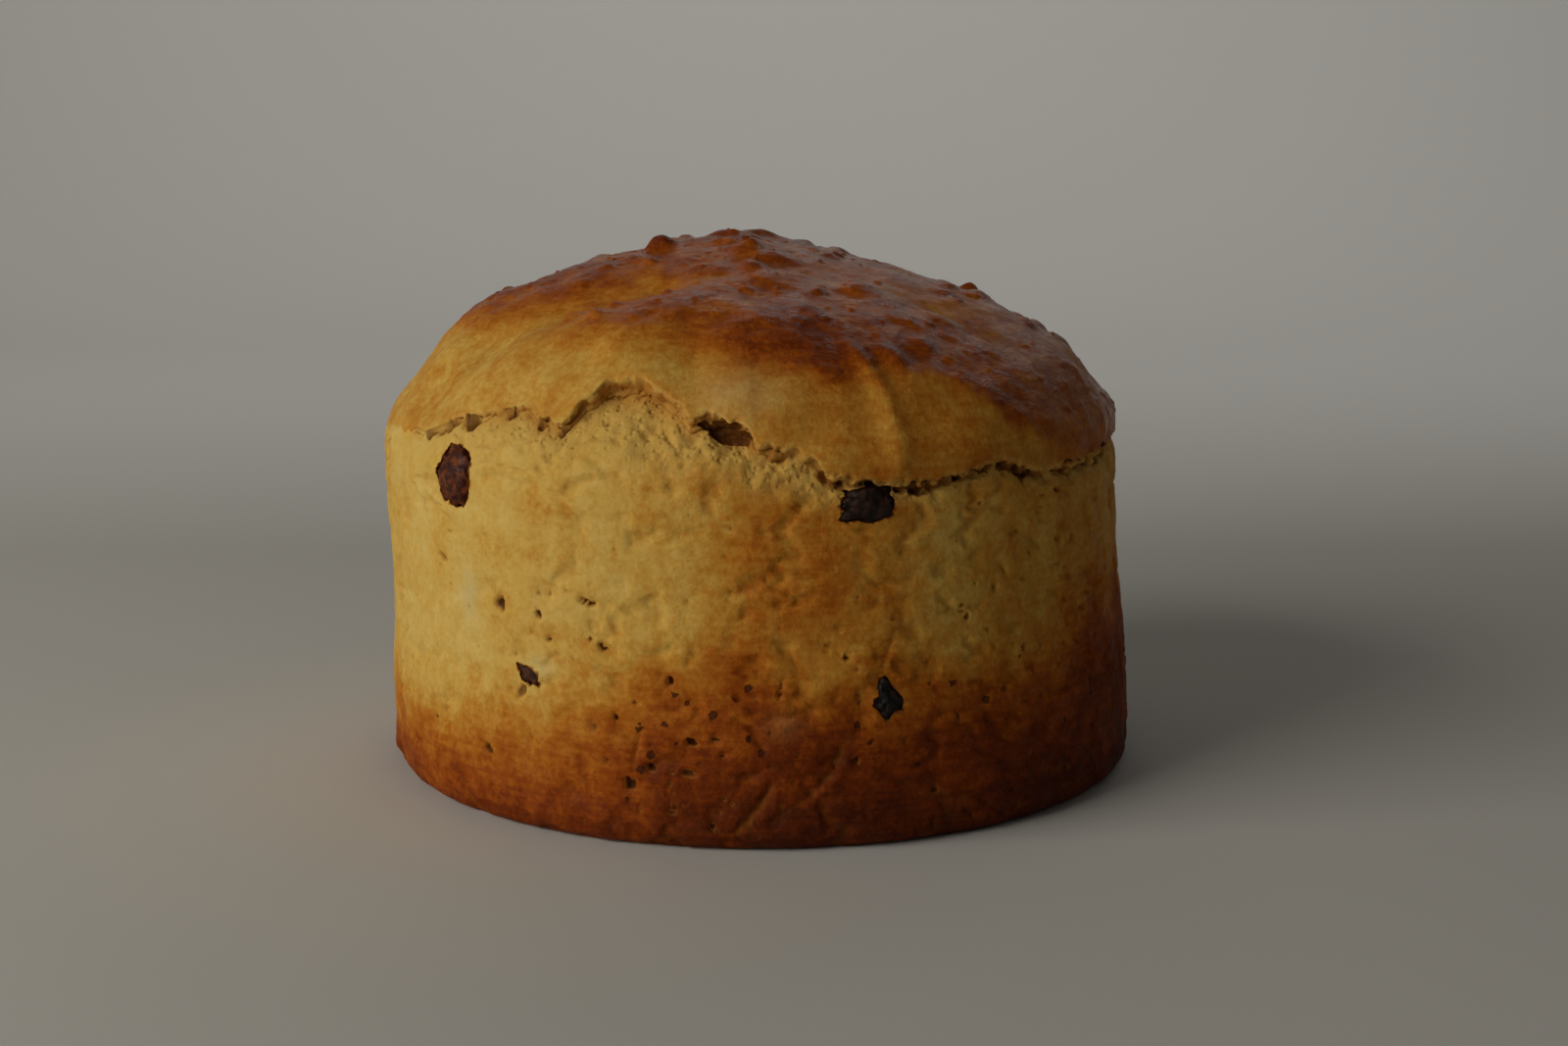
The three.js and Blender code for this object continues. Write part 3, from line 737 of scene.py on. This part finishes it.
def shapeSkin(skin):
    f = fineRelief
    mesh = skin.data
    raw = readRows(mesh.vertices, "co")
    angle = np.degrees(np.arctan2(raw[:, 0], -raw[:, 1]))
    step = raw[:, 2]
    points = skinPoint(angle, step)
    writePoints(mesh, points)
    normals = readRows(mesh.vertex_normals, "vector")
    height = points[:, 2]
    print("skin laid out:", len(points), "points")

    crumb = crumbShare(angle, height, step)
    onWall = (step >= 1.2) & (step < 4)
    onCrust = smooth((step - 4.9) / 0.12)
    aboveBase = smooth((step - 1.0) / 0.5)
    relief = crustRelief(points[:, 0], points[:, 1], points[:, 2])

    # torn crumb: soft lumps and open bubbles
    lumps = f["lumps"] * layeredNoise(points / 5, 3, shift=1.5) + 0.22 * fineNoise(points / 1.6, 6.5)
    bubbles = -f["bigBubbles"] * smooth((0.5 - bubbleNoise(points / 3.4, 2.2)) / 0.4)
    bubbles -= f["smallBubbles"] * smooth((0.5 - bubbleNoise(points / 1.7, 7.1)) / 0.4)
    lift = crumb * (lumps + bubbles)

    # the crack right under the lip, open in some places and closed in others
    below = tearHeight(angle) - height
    ring = np.stack([*onRing(angle), 0 * angle], 1)
    openness = smooth(0.4 + 0.9 * fineNoise(ring / 4.5, 12.3) + 0.6 * fineNoise(ring / 2.1, 3.3))
    openness *= smooth((tearDepth(angle) - 0.3) / 0.7)
    crackWidth = 0.9 + 0.5 * openness
    crackLine = np.exp(-((below / crackWidth) ** 2)) * (step < 4.6)
    lift -= f["crack"] * openness * crackLine
    lift -= softSpot(angle, height, -2.8, 90, 3.4, 2.6, 1.5) * (step < 4)

    # rips along the lip's edge, deepest on the right
    ripNoise = fineNoise(points / (3.4, 3.4, 2.4), 21.4) + 0.35 * fineNoise(points / 1.3, 2.2)
    ripped = smooth((ripNoise - 0.12) / 0.25)
    rips = ripped * np.exp(-(((below - 0.4) / 1.9) ** 2)) * smooth((tearDepth(angle) - 0.4) / 0.5)
    rips *= 0.35 + 0.65 * rightward(angle, 8, 8)
    lift -= f["rips"] * rips

    # wall skin: faint level wrinkles, grain, gas holes and creases
    stretched = points * np.array([1 / 14, 1 / 14, 1 / 1.5])
    wrinkles = f["wrinkles"] * fineNoise(stretched, 8.8) * smooth((50 - height) / 24)
    slanted = (points + np.outer(points[:, 2], (0.5, 0.2, 0))) * np.array([1 / 10, 1 / 10, 1 / 5])
    slits = smooth((crestNoise(slanted, 2, 15.2) - 0.36) / 0.3)
    slits *= smooth((fineNoise(points / 9, 3.9) + 0.1) / 0.4)
    grain = 0.13 * layeredNoise(points / 5.5, 3, shift=3.7) + 0.07 * layeredNoise(points / 1.9, 2, shift=8.3)
    wallDetail = wrinkles + f["grain"] * grain - f["slits"] * slits
    lift += np.where(onWall, (1 - crumb) * wallDetail * aboveBase, 0)
    footLumps = f["foot"] * fineNoise(ring / 10, 6.1) + 0.35 * fineNoise(ring / 4.5, 2.6) - 0.2
    lift += footLumps * np.exp(-(((height - 3.5) / 4.5) ** 2)) * smooth(step - 1.05) * (step < 4)
    holes = np.where(onWall, sinkHoles(angle, height, points), 0)
    folds = np.where(onWall, pressCreases(angle, height, points), 0)
    lift -= holes + folds

    # crust: pale dough with faint lumps, brown cap with wrinkles, blisters and a few flakes
    blistered = raiseBlisters(points)
    brown = browning(points, angle, height, step, relief + 1.6 * blistered)
    glazed = smooth((brown - 0.44) / 0.24) * onCrust
    flow = points * np.array([1 / 8, 1 / 5, 1 / 5])
    wrinkled = 0.3 * crestNoise(flow, 2, 4.4) + 0.06 * crestNoise(points / 1.9, 1, 2.4)
    flakes = f["flakes"] * smooth((layeredNoise(points / 3.4, 2, shift=9.9) - 0.6) / 0.25)
    fineLumps = f["crustLumps"] * layeredNoise(points / 6, 3, shift=0.7)
    lift += onCrust * (fineLumps * mix(0.6, 1.2, glazed) + glazed * (wrinkled + flakes + blistered - 0.3))

    points = points + normals * lift[:, None]
    points[:, 2] = np.where(step < 1.4, np.maximum(points[:, 2], 0), points[:, 2])
    writePoints(mesh, points * mm)
    # crumb just under the lip and in the arch: browner from toasting, and darker as a painted shade of the
    # overhanging lip
    toastAndShade = crumb * smooth(1 - below / (0.7 * tearFade(angle))) * smooth((below + 1.2) / 1.2)
    toastAndShade *= 0.4 + 0.6 * clamp(0.5 + layeredNoise(points / 7, 3, shift=13.1)) + 0.3 * swell(angle, -20, 8)
    chalk = sum(softSpot(angle, height, *mark) for mark in chalkMarks)
    writeAttribute(mesh, "brown", brown)
    writeAttribute(mesh, "crumb", crumb)
    writeAttribute(mesh, "toastAndShade", toastAndShade)
    writeAttribute(mesh, "chalk", clamp(chalk))
    # depth darkens gas holes, creases, slits, the crack under the lip and the rips: painted shade in these
    # hollows
    depth = holes / 1.1 + 0.4 * folds + 0.2 * slits * onWall + openness * crackLine + rips
    writeAttribute(mesh, "depth", np.clip(depth, 0, 1.5))
    writeAttribute(mesh, "gloss", glazed)
    pores = poreShare(angle, height) * onWall * (1 - crumb) * smooth((44 - height) / 14)
    writeAttribute(mesh, "pores", pores)
    print("skin shaped")


def thinSkin(skin):
    modifier = skin.modifiers.new("thin", "DECIMATE")
    skin.data.calc_loop_triangles()
    modifier.ratio = min(1, loafShape["finalTriangles"] / len(skin.data.loop_triangles))
    modifier.use_collapse_triangulate = True
    bakeModifiers(skin)
    print("skin thinned to", len(skin.data.polygons), "faces")


# The turn and place of a thing set in the skin.
def seat(thing):
    angle, height = np.array([float(thing["angle"])]), np.array([float(thing["height"])])
    climb = climbAt(height)
    rise = outline(climb)[2][0]
    spot = (wallPoint if height[0] < tearHeight(angle)[0] else crustPoint)(angle, climb)[0]
    a, sunk = math.radians(thing["angle"]), thing.get("sunk", 0)
    level = sunk * math.cos(rise)
    inward = Vector((-level * math.sin(a), level * math.cos(a), -sunk * math.sin(rise)))
    facing = Matrix.Rotation(a, 4, "Z") @ Matrix.Rotation(-rise, 4, "X")
    rolled = Matrix.Rotation(math.radians(thing["turn"]), 4, "Y")
    return Matrix.Translation(Vector(spot) + inward) @ facing @ rolled


def wrinkledDrop(name, thing, margin, detail, deep, ragged=0.0):
    bm = bmesh.new()
    bmesh.ops.create_icosphere(bm, subdivisions=detail, radius=1)
    ball = np.array([v.co[:] for v in bm.verts])
    start = thing["angle"]
    fold = 1 + 0.16 * slowNoise(ball[:, 0] * 2.6 + start, ball[:, 1] * 2.6, ball[:, 2] * 2.6)
    fold += ragged * layeredNoise(ball * 2.4, 3, shift=start)
    fold -= deep * smooth((crestNoise(ball * 1.5, 2, start) - 0.4) / 0.5)
    fold += thing.get("point", 0) * np.cos(4 * np.arctan2(ball[:, 2], ball[:, 0])) * (1 - ball[:, 1] ** 2)
    halfWide, halfHigh, halfDeep = thing["half"]
    half = np.array([halfWide, halfDeep, halfHigh])
    shaped = ball * (half * fold[:, None] + margin)
    matrix = seat(thing)
    for vert, co in zip(bm.verts, shaped):
        vert.co = matrix @ Vector(co) * mm
    bmesh.ops.recalc_face_normals(bm, faces=bm.faces)
    return newPiece(name, bm)


# Deep holes in the tear: a cave beside the arch, and one at the back.
caves = [
    {"angle": -4.2, "height": 92.3, "half": (5.4, 2.1, 3.8), "turn": 18},
    {"angle": 152, "height": 92, "half": (3.4, 2.0, 3.0), "turn": 12},
]


# The points made by the cut have no browning of their own yet, so they take the dark values of the cut faces,
# a painted shade.
def darkenRims(mesh, dark):
    brown = np.empty(len(mesh.vertices), np.float32)
    mesh.attributes["brown"].data.foreach_get("value", brown)
    rim = brown < 0.01
    print("rim points:", rim.sum())
    for name, value in dark.items():
        values = np.empty(len(brown), np.float32)
        mesh.attributes[name].data.foreach_get("value", values)
        values[rim] = value
        mesh.attributes[name].data.foreach_set("value", values)


def cutPockets(skin):
    cutters = [wrinkledDrop("pocket", raisin, 0.15, 4, 0.0, 0.08) for raisin in raisins]
    cutters += [wrinkledDrop("cave_cutter", cave, 0, 4, 0.1, 0.3) for cave in caves]
    # The cut faces are painted dark: the pit colour as painted shade inside the raisins' pockets, and dark
    # toasted crumb as painted shade inside the caves.
    dark = {"depth": 1.1, "crumb": 0.0, "toastAndShade": 0.0, "brown": 0.8, "chalk": 0.0, "gloss": 0.0, "pores": 0.0}
    caveCrumbShade = {**dark, "depth": 0.98, "crumb": 0.7, "toastAndShade": 0.8, "brown": 0.5}
    for cutter in cutters:
        for name, value in (caveCrumbShade if cutter.name.startswith("cave") else dark).items():
            writeAttribute(cutter.data, name, np.full(len(cutter.data.vertices), value))
        modifier = skin.modifiers.new("cut", "BOOLEAN")
        modifier.operation = "DIFFERENCE"
        modifier.solver = "MANIFOLD"
        modifier.object = cutter
    bakeModifiers(skin)
    for cutter in cutters:
        bpy.data.objects.remove(cutter)
    darkenRims(skin.data, dark)
    skin.data.shade_smooth()
    print("pockets cut:", len(skin.data.polygons), "faces")


loafSkin = spinSkin()
print("skin spun:", len(loafSkin.data.vertices), "points")
shapeSkin(loafSkin)
thinSkin(loafSkin)
cutPockets(loafSkin)

raisinPieces = [wrinkledDrop(r["name"] + "_fruit", r, 0, 5, 0.13, 0.08) for r in raisins]
print("raisins made:", len(raisinPieces))


# Materials. Colours are written as they look on a screen.
def tint(red, green, blue):
    def linear(v):
        v = v / 255
        return v / 12.92 if v <= 0.04045 else ((v + 0.055) / 1.055) ** 2.4

    return (linear(red), linear(green), linear(blue), 1)


def addNode(tree, kind, values=None, **settings):
    node = tree.nodes.new("ShaderNode" + kind)
    for name, value in settings.items():
        setattr(node, name, value)
    for key, value in (values or {}).items():
        socket = node.inputs[key]
        if isinstance(value, bpy.types.NodeSocket):
            tree.links.new(value, socket)
        else:
            socket.default_value = value
    return node


def startMaterial(name):
    material = bpy.data.materials.new(name)
    material.use_nodes = True
    tree = material.node_tree
    tree.nodes.clear()
    shader = addNode(tree, "BsdfPrincipled")
    addNode(tree, "OutputMaterial", {"Surface": shader.outputs[0]})
    return material, tree, shader


def math2(tree, operation, a, b):
    return addNode(tree, "Math", {0: a, 1: b}, operation=operation).outputs[0]


def remap(tree, value, low, high, toLow=0.0, toHigh=1.0):
    node = addNode(
        tree,
        "MapRange",
        {"Value": value, "From Min": low, "From Max": high, "To Min": toLow, "To Max": toHigh},
        interpolation_type="SMOOTHSTEP",
    )
    return node.outputs[0]


def noiseAt(tree, where, scale, detail=3.0, rough=0.55):
    values = {"Vector": where, "Scale": scale, "Detail": detail, "Roughness": rough}
    return addNode(tree, "TexNoise", values).outputs[0]


def blend(tree, factor, a, b):
    node = addNode(tree, "Mix", data_type="RGBA", blend_type="MIX")
    for key, value in (("Factor_Float", factor), ("A_Color", a), ("B_Color", b)):
        socket = next(s for s in node.inputs if s.identifier == key)
        if isinstance(value, bpy.types.NodeSocket):
            tree.links.new(value, socket)
        else:
            socket.default_value = value
    return next(s for s in node.outputs if s.identifier == "Result_Color")


def ramp(tree, value, stops):
    node = addNode(tree, "ValToRGB", {"Fac": value})
    elements = node.color_ramp.elements
    elements[0].position, elements[0].color = stops[0]
    elements[1].position, elements[1].color = stops[-1]
    for position, colour in stops[1:-1]:
        elements.new(position).color = colour
    return node.outputs[0]


crustLook = {
    "browns": [
        (0.0, tint(230, 198, 112)),
        (0.2, tint(221, 177, 84)),
        (0.35, tint(206, 145, 52)),
        (0.5, tint(188, 111, 26)),
        (0.65, tint(161, 78, 9)),
        (0.8, tint(127, 52, 3)),
        (1.0, tint(82, 30, 2)),
    ],
    "crumb": tint(222, 180, 92),
    # toasted crumb, which is also a painted shade under the lip
    "toastedAndShaded": tint(178, 114, 42),
    "chalk": tint(216, 194, 132),
    # the dent and pit colours are painted shade: dent in shallow hollows, pit in deep holes, pores and cut
    # pockets
    "dentShade": tint(168, 104, 36),
    "pit": tint(70, 32, 8),
    "speck": tint(60, 36, 16),
}


# Scattered ragged dots, of which the given share shows.
def dotMask(tree, where, scale, radius, share):
    wobble = addNode(tree, "TexNoise", {"Vector": where, "Scale": 2.2 * scale, "Detail": 2.0})
    shift = {0: wobble.outputs["Color"], 1: (0.5 / scale,) * 3, 2: where}
    warped = addNode(tree, "VectorMath", shift, operation="MULTIPLY_ADD").outputs[0]
    dots = addNode(tree, "TexVoronoi", {"Vector": warped, "Scale": scale}, feature="F1")
    draw = addNode(tree, "SeparateColor", {0: dots.outputs["Color"]})
    shown = math2(tree, "LESS_THAN", draw.outputs[0], share)
    size = math2(tree, "MULTIPLY", draw.outputs[1], radius)
    inside = math2(tree, "SUBTRACT", size, dots.outputs["Distance"])
    return math2(tree, "MULTIPLY", shown, remap(tree, inside, -0.02, 0.05))


def crustMaterial():
    material, tree, shader = startMaterial("baked_crust")
    where = addNode(tree, "TexCoord").outputs["Object"]
    level = addNode(tree, "Mapping", {"Vector": where, "Scale": (1, 1, 9)}).outputs[0]
    attribute = {
        name: addNode(tree, "Attribute", attribute_name=name, attribute_type="GEOMETRY").outputs["Fac"]
        for name in ("brown", "crumb", "toastAndShade", "chalk", "depth", "gloss", "pores")
    }
    shade = attribute["brown"]
    for scale, detail, strength in ((90, 4, 0.045), (290, 4, 0.05), (760, 4, 0.05)):
        mottle = remap(tree, noiseAt(tree, where, scale, detail), 0.3, 0.7, -strength, strength)
        shade = math2(tree, "ADD", shade, mottle)
    streaks = remap(tree, noiseAt(tree, level, 70, 4, 0.6), 0.3, 0.7, -0.05, 0.05)
    streaks = math2(tree, "MULTIPLY", streaks, remap(tree, attribute["brown"], 0.2, 0.6, 0.2, 1.0))
    shade = math2(tree, "ADD", shade, streaks)
    colour = ramp(tree, shade, crustLook["browns"])
    # the crumb turns to the toasted tone under the lip: real toasting and a painted shade there
    crumbTone = blend(tree, attribute["toastAndShade"], crustLook["crumb"], crustLook["toastedAndShaded"])
    colour = blend(tree, math2(tree, "MULTIPLY", attribute["crumb"], 0.8), colour, crumbTone)
    chalkNoise = remap(tree, noiseAt(tree, where, 300, 3), 0.3, 0.6, 0.35, 0.75)
    chalkMask = math2(tree, "MULTIPLY", attribute["chalk"], chalkNoise)
    colour = blend(tree, chalkMask, colour, crustLook["chalk"])
    # painted shade in the hollows, by depth: the warm dent colour first, then the dark pit colour
    colour = blend(tree, remap(tree, attribute["depth"], 0.05, 0.5, 0.0, 0.5), colour, crustLook["dentShade"])
    colour = blend(tree, remap(tree, attribute["depth"], 0.45, 1.1, 0.0, 0.85), colour, crustLook["pit"])
    specks = dotMask(tree, where, scale=210.0, radius=0.09, share=0.14)
    colour = blend(tree, math2(tree, "MULTIPLY", specks, 0.6), colour, crustLook["speck"])
    # pores: small dark dots in the pit colour, a painted shade of holes too small for the mesh
    poreAmount = math2(tree, "MULTIPLY", attribute["pores"], 0.4)
    pores = dotMask(tree, where, scale=380.0, radius=0.44, share=poreAmount)
    colour = blend(tree, math2(tree, "MULTIPLY", pores, 0.85), colour, crustLook["pit"])
    tree.links.new(colour, shader.inputs["Base Color"])

    dull = remap(tree, attribute["gloss"], 0.0, 1.0, 0.68, 0.3)
    dull = math2(tree, "ADD", dull, remap(tree, noiseAt(tree, where, 160, 4), 0.3, 0.7, -0.13, 0.13))
    dull = math2(tree, "MAXIMUM", dull, math2(tree, "MULTIPLY", attribute["crumb"], 0.85))
    tree.links.new(dull, shader.inputs["Roughness"])
    shader.inputs["Specular IOR Level"].default_value = 0.13
    shader.inputs["Subsurface Weight"].default_value = 0.1
    shader.inputs["Subsurface Radius"].default_value = (0.9, 0.45, 0.2)
    shader.inputs["Subsurface Scale"].default_value = 0.003

    grain = noiseAt(tree, where, 700, 5, 0.7)
    bumps = addNode(tree, "Bump", {"Height": grain, "Strength": 0.45, "Distance": 0.0008})
    dents = addNode(
        tree,
        "Bump",
        {"Height": pores, "Strength": 0.7, "Distance": 0.0008, "Normal": bumps.outputs[0]},
        invert=True,
    )
    cells = addNode(tree, "TexVoronoi", {"Vector": where, "Scale": 560.0}, feature="F1").outputs["Distance"]
    poreBump = addNode(
        tree,
        "Bump",
        {
            "Height": remap(tree, cells, 0.05, 0.4),
            "Strength": remap(tree, attribute["crumb"], 0.0, 1.0, 0.08, 0.6),
            "Distance": 0.0007,
            "Normal": dents.outputs[0],
        },
    )
    stretch = {"Vector": where, "Scale": (1, 1.6, 3.2), "Rotation": (0, 0, 0.2)}
    skinLines = addNode(tree, "Mapping", stretch).outputs[0]
    wrinkleBump = addNode(
        tree,
        "Bump",
        {
            "Height": noiseAt(tree, skinLines, 240, 5, 0.6),
            "Strength": remap(tree, attribute["gloss"], 0.0, 1.0, 0.12, 0.6),
            "Distance": 0.001,
            "Normal": poreBump.outputs[0],
        },
    )
    tree.links.new(wrinkleBump.outputs[0], shader.inputs["Normal"])
    return material


def raisinMaterial(name, red):
    material, tree, shader = startMaterial(name)
    where = addNode(tree, "TexCoord").outputs["Object"]
    dark = tuple(mix(np.array(tint(18, 14, 11)), np.array(tint(66, 24, 8)), red))
    light = tuple(mix(np.array(tint(46, 33, 24)), np.array(tint(138, 66, 24)), red))
    colour = blend(tree, remap(tree, noiseAt(tree, where, 420, 4), 0.4, 0.68), dark, light)
    tree.links.new(colour, shader.inputs["Base Color"])
    dull = remap(tree, noiseAt(tree, where, 700, 3), 0.3, 0.7, 0.36, 0.64)
    tree.links.new(dull, shader.inputs["Roughness"])
    shader.inputs["Specular IOR Level"].default_value = 0.22
    wrinkle = noiseAt(tree, where, 520, 5, 0.6)
    folds = addNode(tree, "Bump", {"Height": wrinkle, "Strength": 0.6, "Distance": 0.0008})
    tree.links.new(folds.outputs[0], shader.inputs["Normal"])
    return material


loafSkin.name = "loaf_crust"
loafSkin.data.materials.clear()
loafSkin.data.materials.append(crustMaterial())
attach(loafSkin, "root")
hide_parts("loaf")

for raisin, piece in zip(raisins, raisinPieces):
    piece.data.materials.append(raisinMaterial(raisin["name"] + "_skin", raisin["red"]))
    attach(piece, "root")
    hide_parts(raisin["name"])
print("materials on")

# Floor and backdrop: one pale sheet that turns up behind the loaf.
stageLook = {
    "halfWidth": 3.0,
    "front": -1.6,
    "back": 1.5,
    "height": 2.4,
    "bend": 0.6,
    "colour": tint(205, 203, 197),
}


def makeStage():
    s = stageLook
    bm = bmesh.new()
    turns = np.linspace(0, math.pi / 2, 13)
    arc = [(s["back"] - s["bend"] * (1 - math.sin(a)), s["bend"] * (1 - math.cos(a))) for a in turns]
    line = [(s["front"], 0.0)] + arc + [(s["back"], s["height"])]
    verts = [bm.verts.new((-s["halfWidth"], y, z)) for y, z in line]
    edges = [bm.edges.new(pair) for pair in zip(verts, verts[1:])]
    made = bmesh.ops.extrude_edge_only(bm, edges=edges)
    moved = [v for v in made["geom"] if isinstance(v, bmesh.types.BMVert)]
    bmesh.ops.translate(bm, verts=moved, vec=(2 * s["halfWidth"], 0, 0))
    floor = newPiece("pale_floor", bm)
    material, tree, shader = startMaterial("pale_floor")
    shader.inputs["Base Color"].default_value = s["colour"]
    shader.inputs["Roughness"].default_value = 0.9
    floor.data.materials.append(material)


# Lights: a broad soft one from the left, a long one behind for the gloss on the dome, a weak fill, and one
# that only brightens the backdrop. Each has a place, a size, watts, a tint, and a point that it faces.
loafMiddle = (0, 0, 0.07)
lights = [
    ("left_window", (-1.04, -0.68, 0.6), (1.0, 0.9), 10.0, (1.0, 0.96, 0.88), loafMiddle),
    ("back_window", (0.35, 1.3, 0.8), (1.2, 0.3), 1.1, (1.0, 0.98, 0.96), loafMiddle),
    ("front_fill", (0.6, -1.3, 1.0), (1.4, 1.4), 0.35, (1.0, 0.96, 0.88), loafMiddle),
    ("backdrop_wash", (0.1, 0.25, 0.9), (2.0, 0.3), 6.5, (0.98, 0.99, 1.0), (0.1, 1.5, 0.9)),
]
roomLight = {"colour": (1.0, 0.96, 0.9, 1), "strength": 0.052}


def makeLights():
    for name, at, size, watts, colour, target in lights:
        data = bpy.data.lights.new(name, "AREA")
        data.shape = "RECTANGLE"
        data.size, data.size_y = size
        data.energy = watts
        data.color = colour
        lamp = bpy.data.objects.new(name, data)
        lamp.location = at
        aim = Vector(target) - lamp.location
        lamp.rotation_euler = aim.to_track_quat("-Z", "Y").to_euler()
        bpy.context.scene.collection.objects.link(lamp)
    world = bpy.data.worlds.new("soft_room")
    world.use_nodes = True
    background = world.node_tree.nodes["Background"]
    background.inputs["Color"].default_value = roomLight["colour"]
    background.inputs["Strength"].default_value = roomLight["strength"]
    bpy.context.scene.world = world


# Camera: 0.6 m in front, a little above the loaf, looking down by 10.6 degrees and right by half a degree.
cameraView = {"at": (0, -0.6, 0.168), "down": 10.57, "right": 0.5, "lens": 56.2}


def makeCamera():
    data = bpy.data.cameras.new("photo_view")
    data.lens = cameraView["lens"]
    data.clip_start = 0.01
    camera = bpy.data.objects.new("photo_view", data)
    camera.location = cameraView["at"]
    camera.rotation_euler = (math.radians(90 - cameraView["down"]), 0, -math.radians(cameraView["right"]))
    bpy.context.scene.collection.objects.link(camera)
    bpy.context.scene.camera = camera


makeStage()
makeLights()
makeCamera()
bpy.context.scene.view_settings.view_transform = "Standard"
print("stage, lights and camera set")
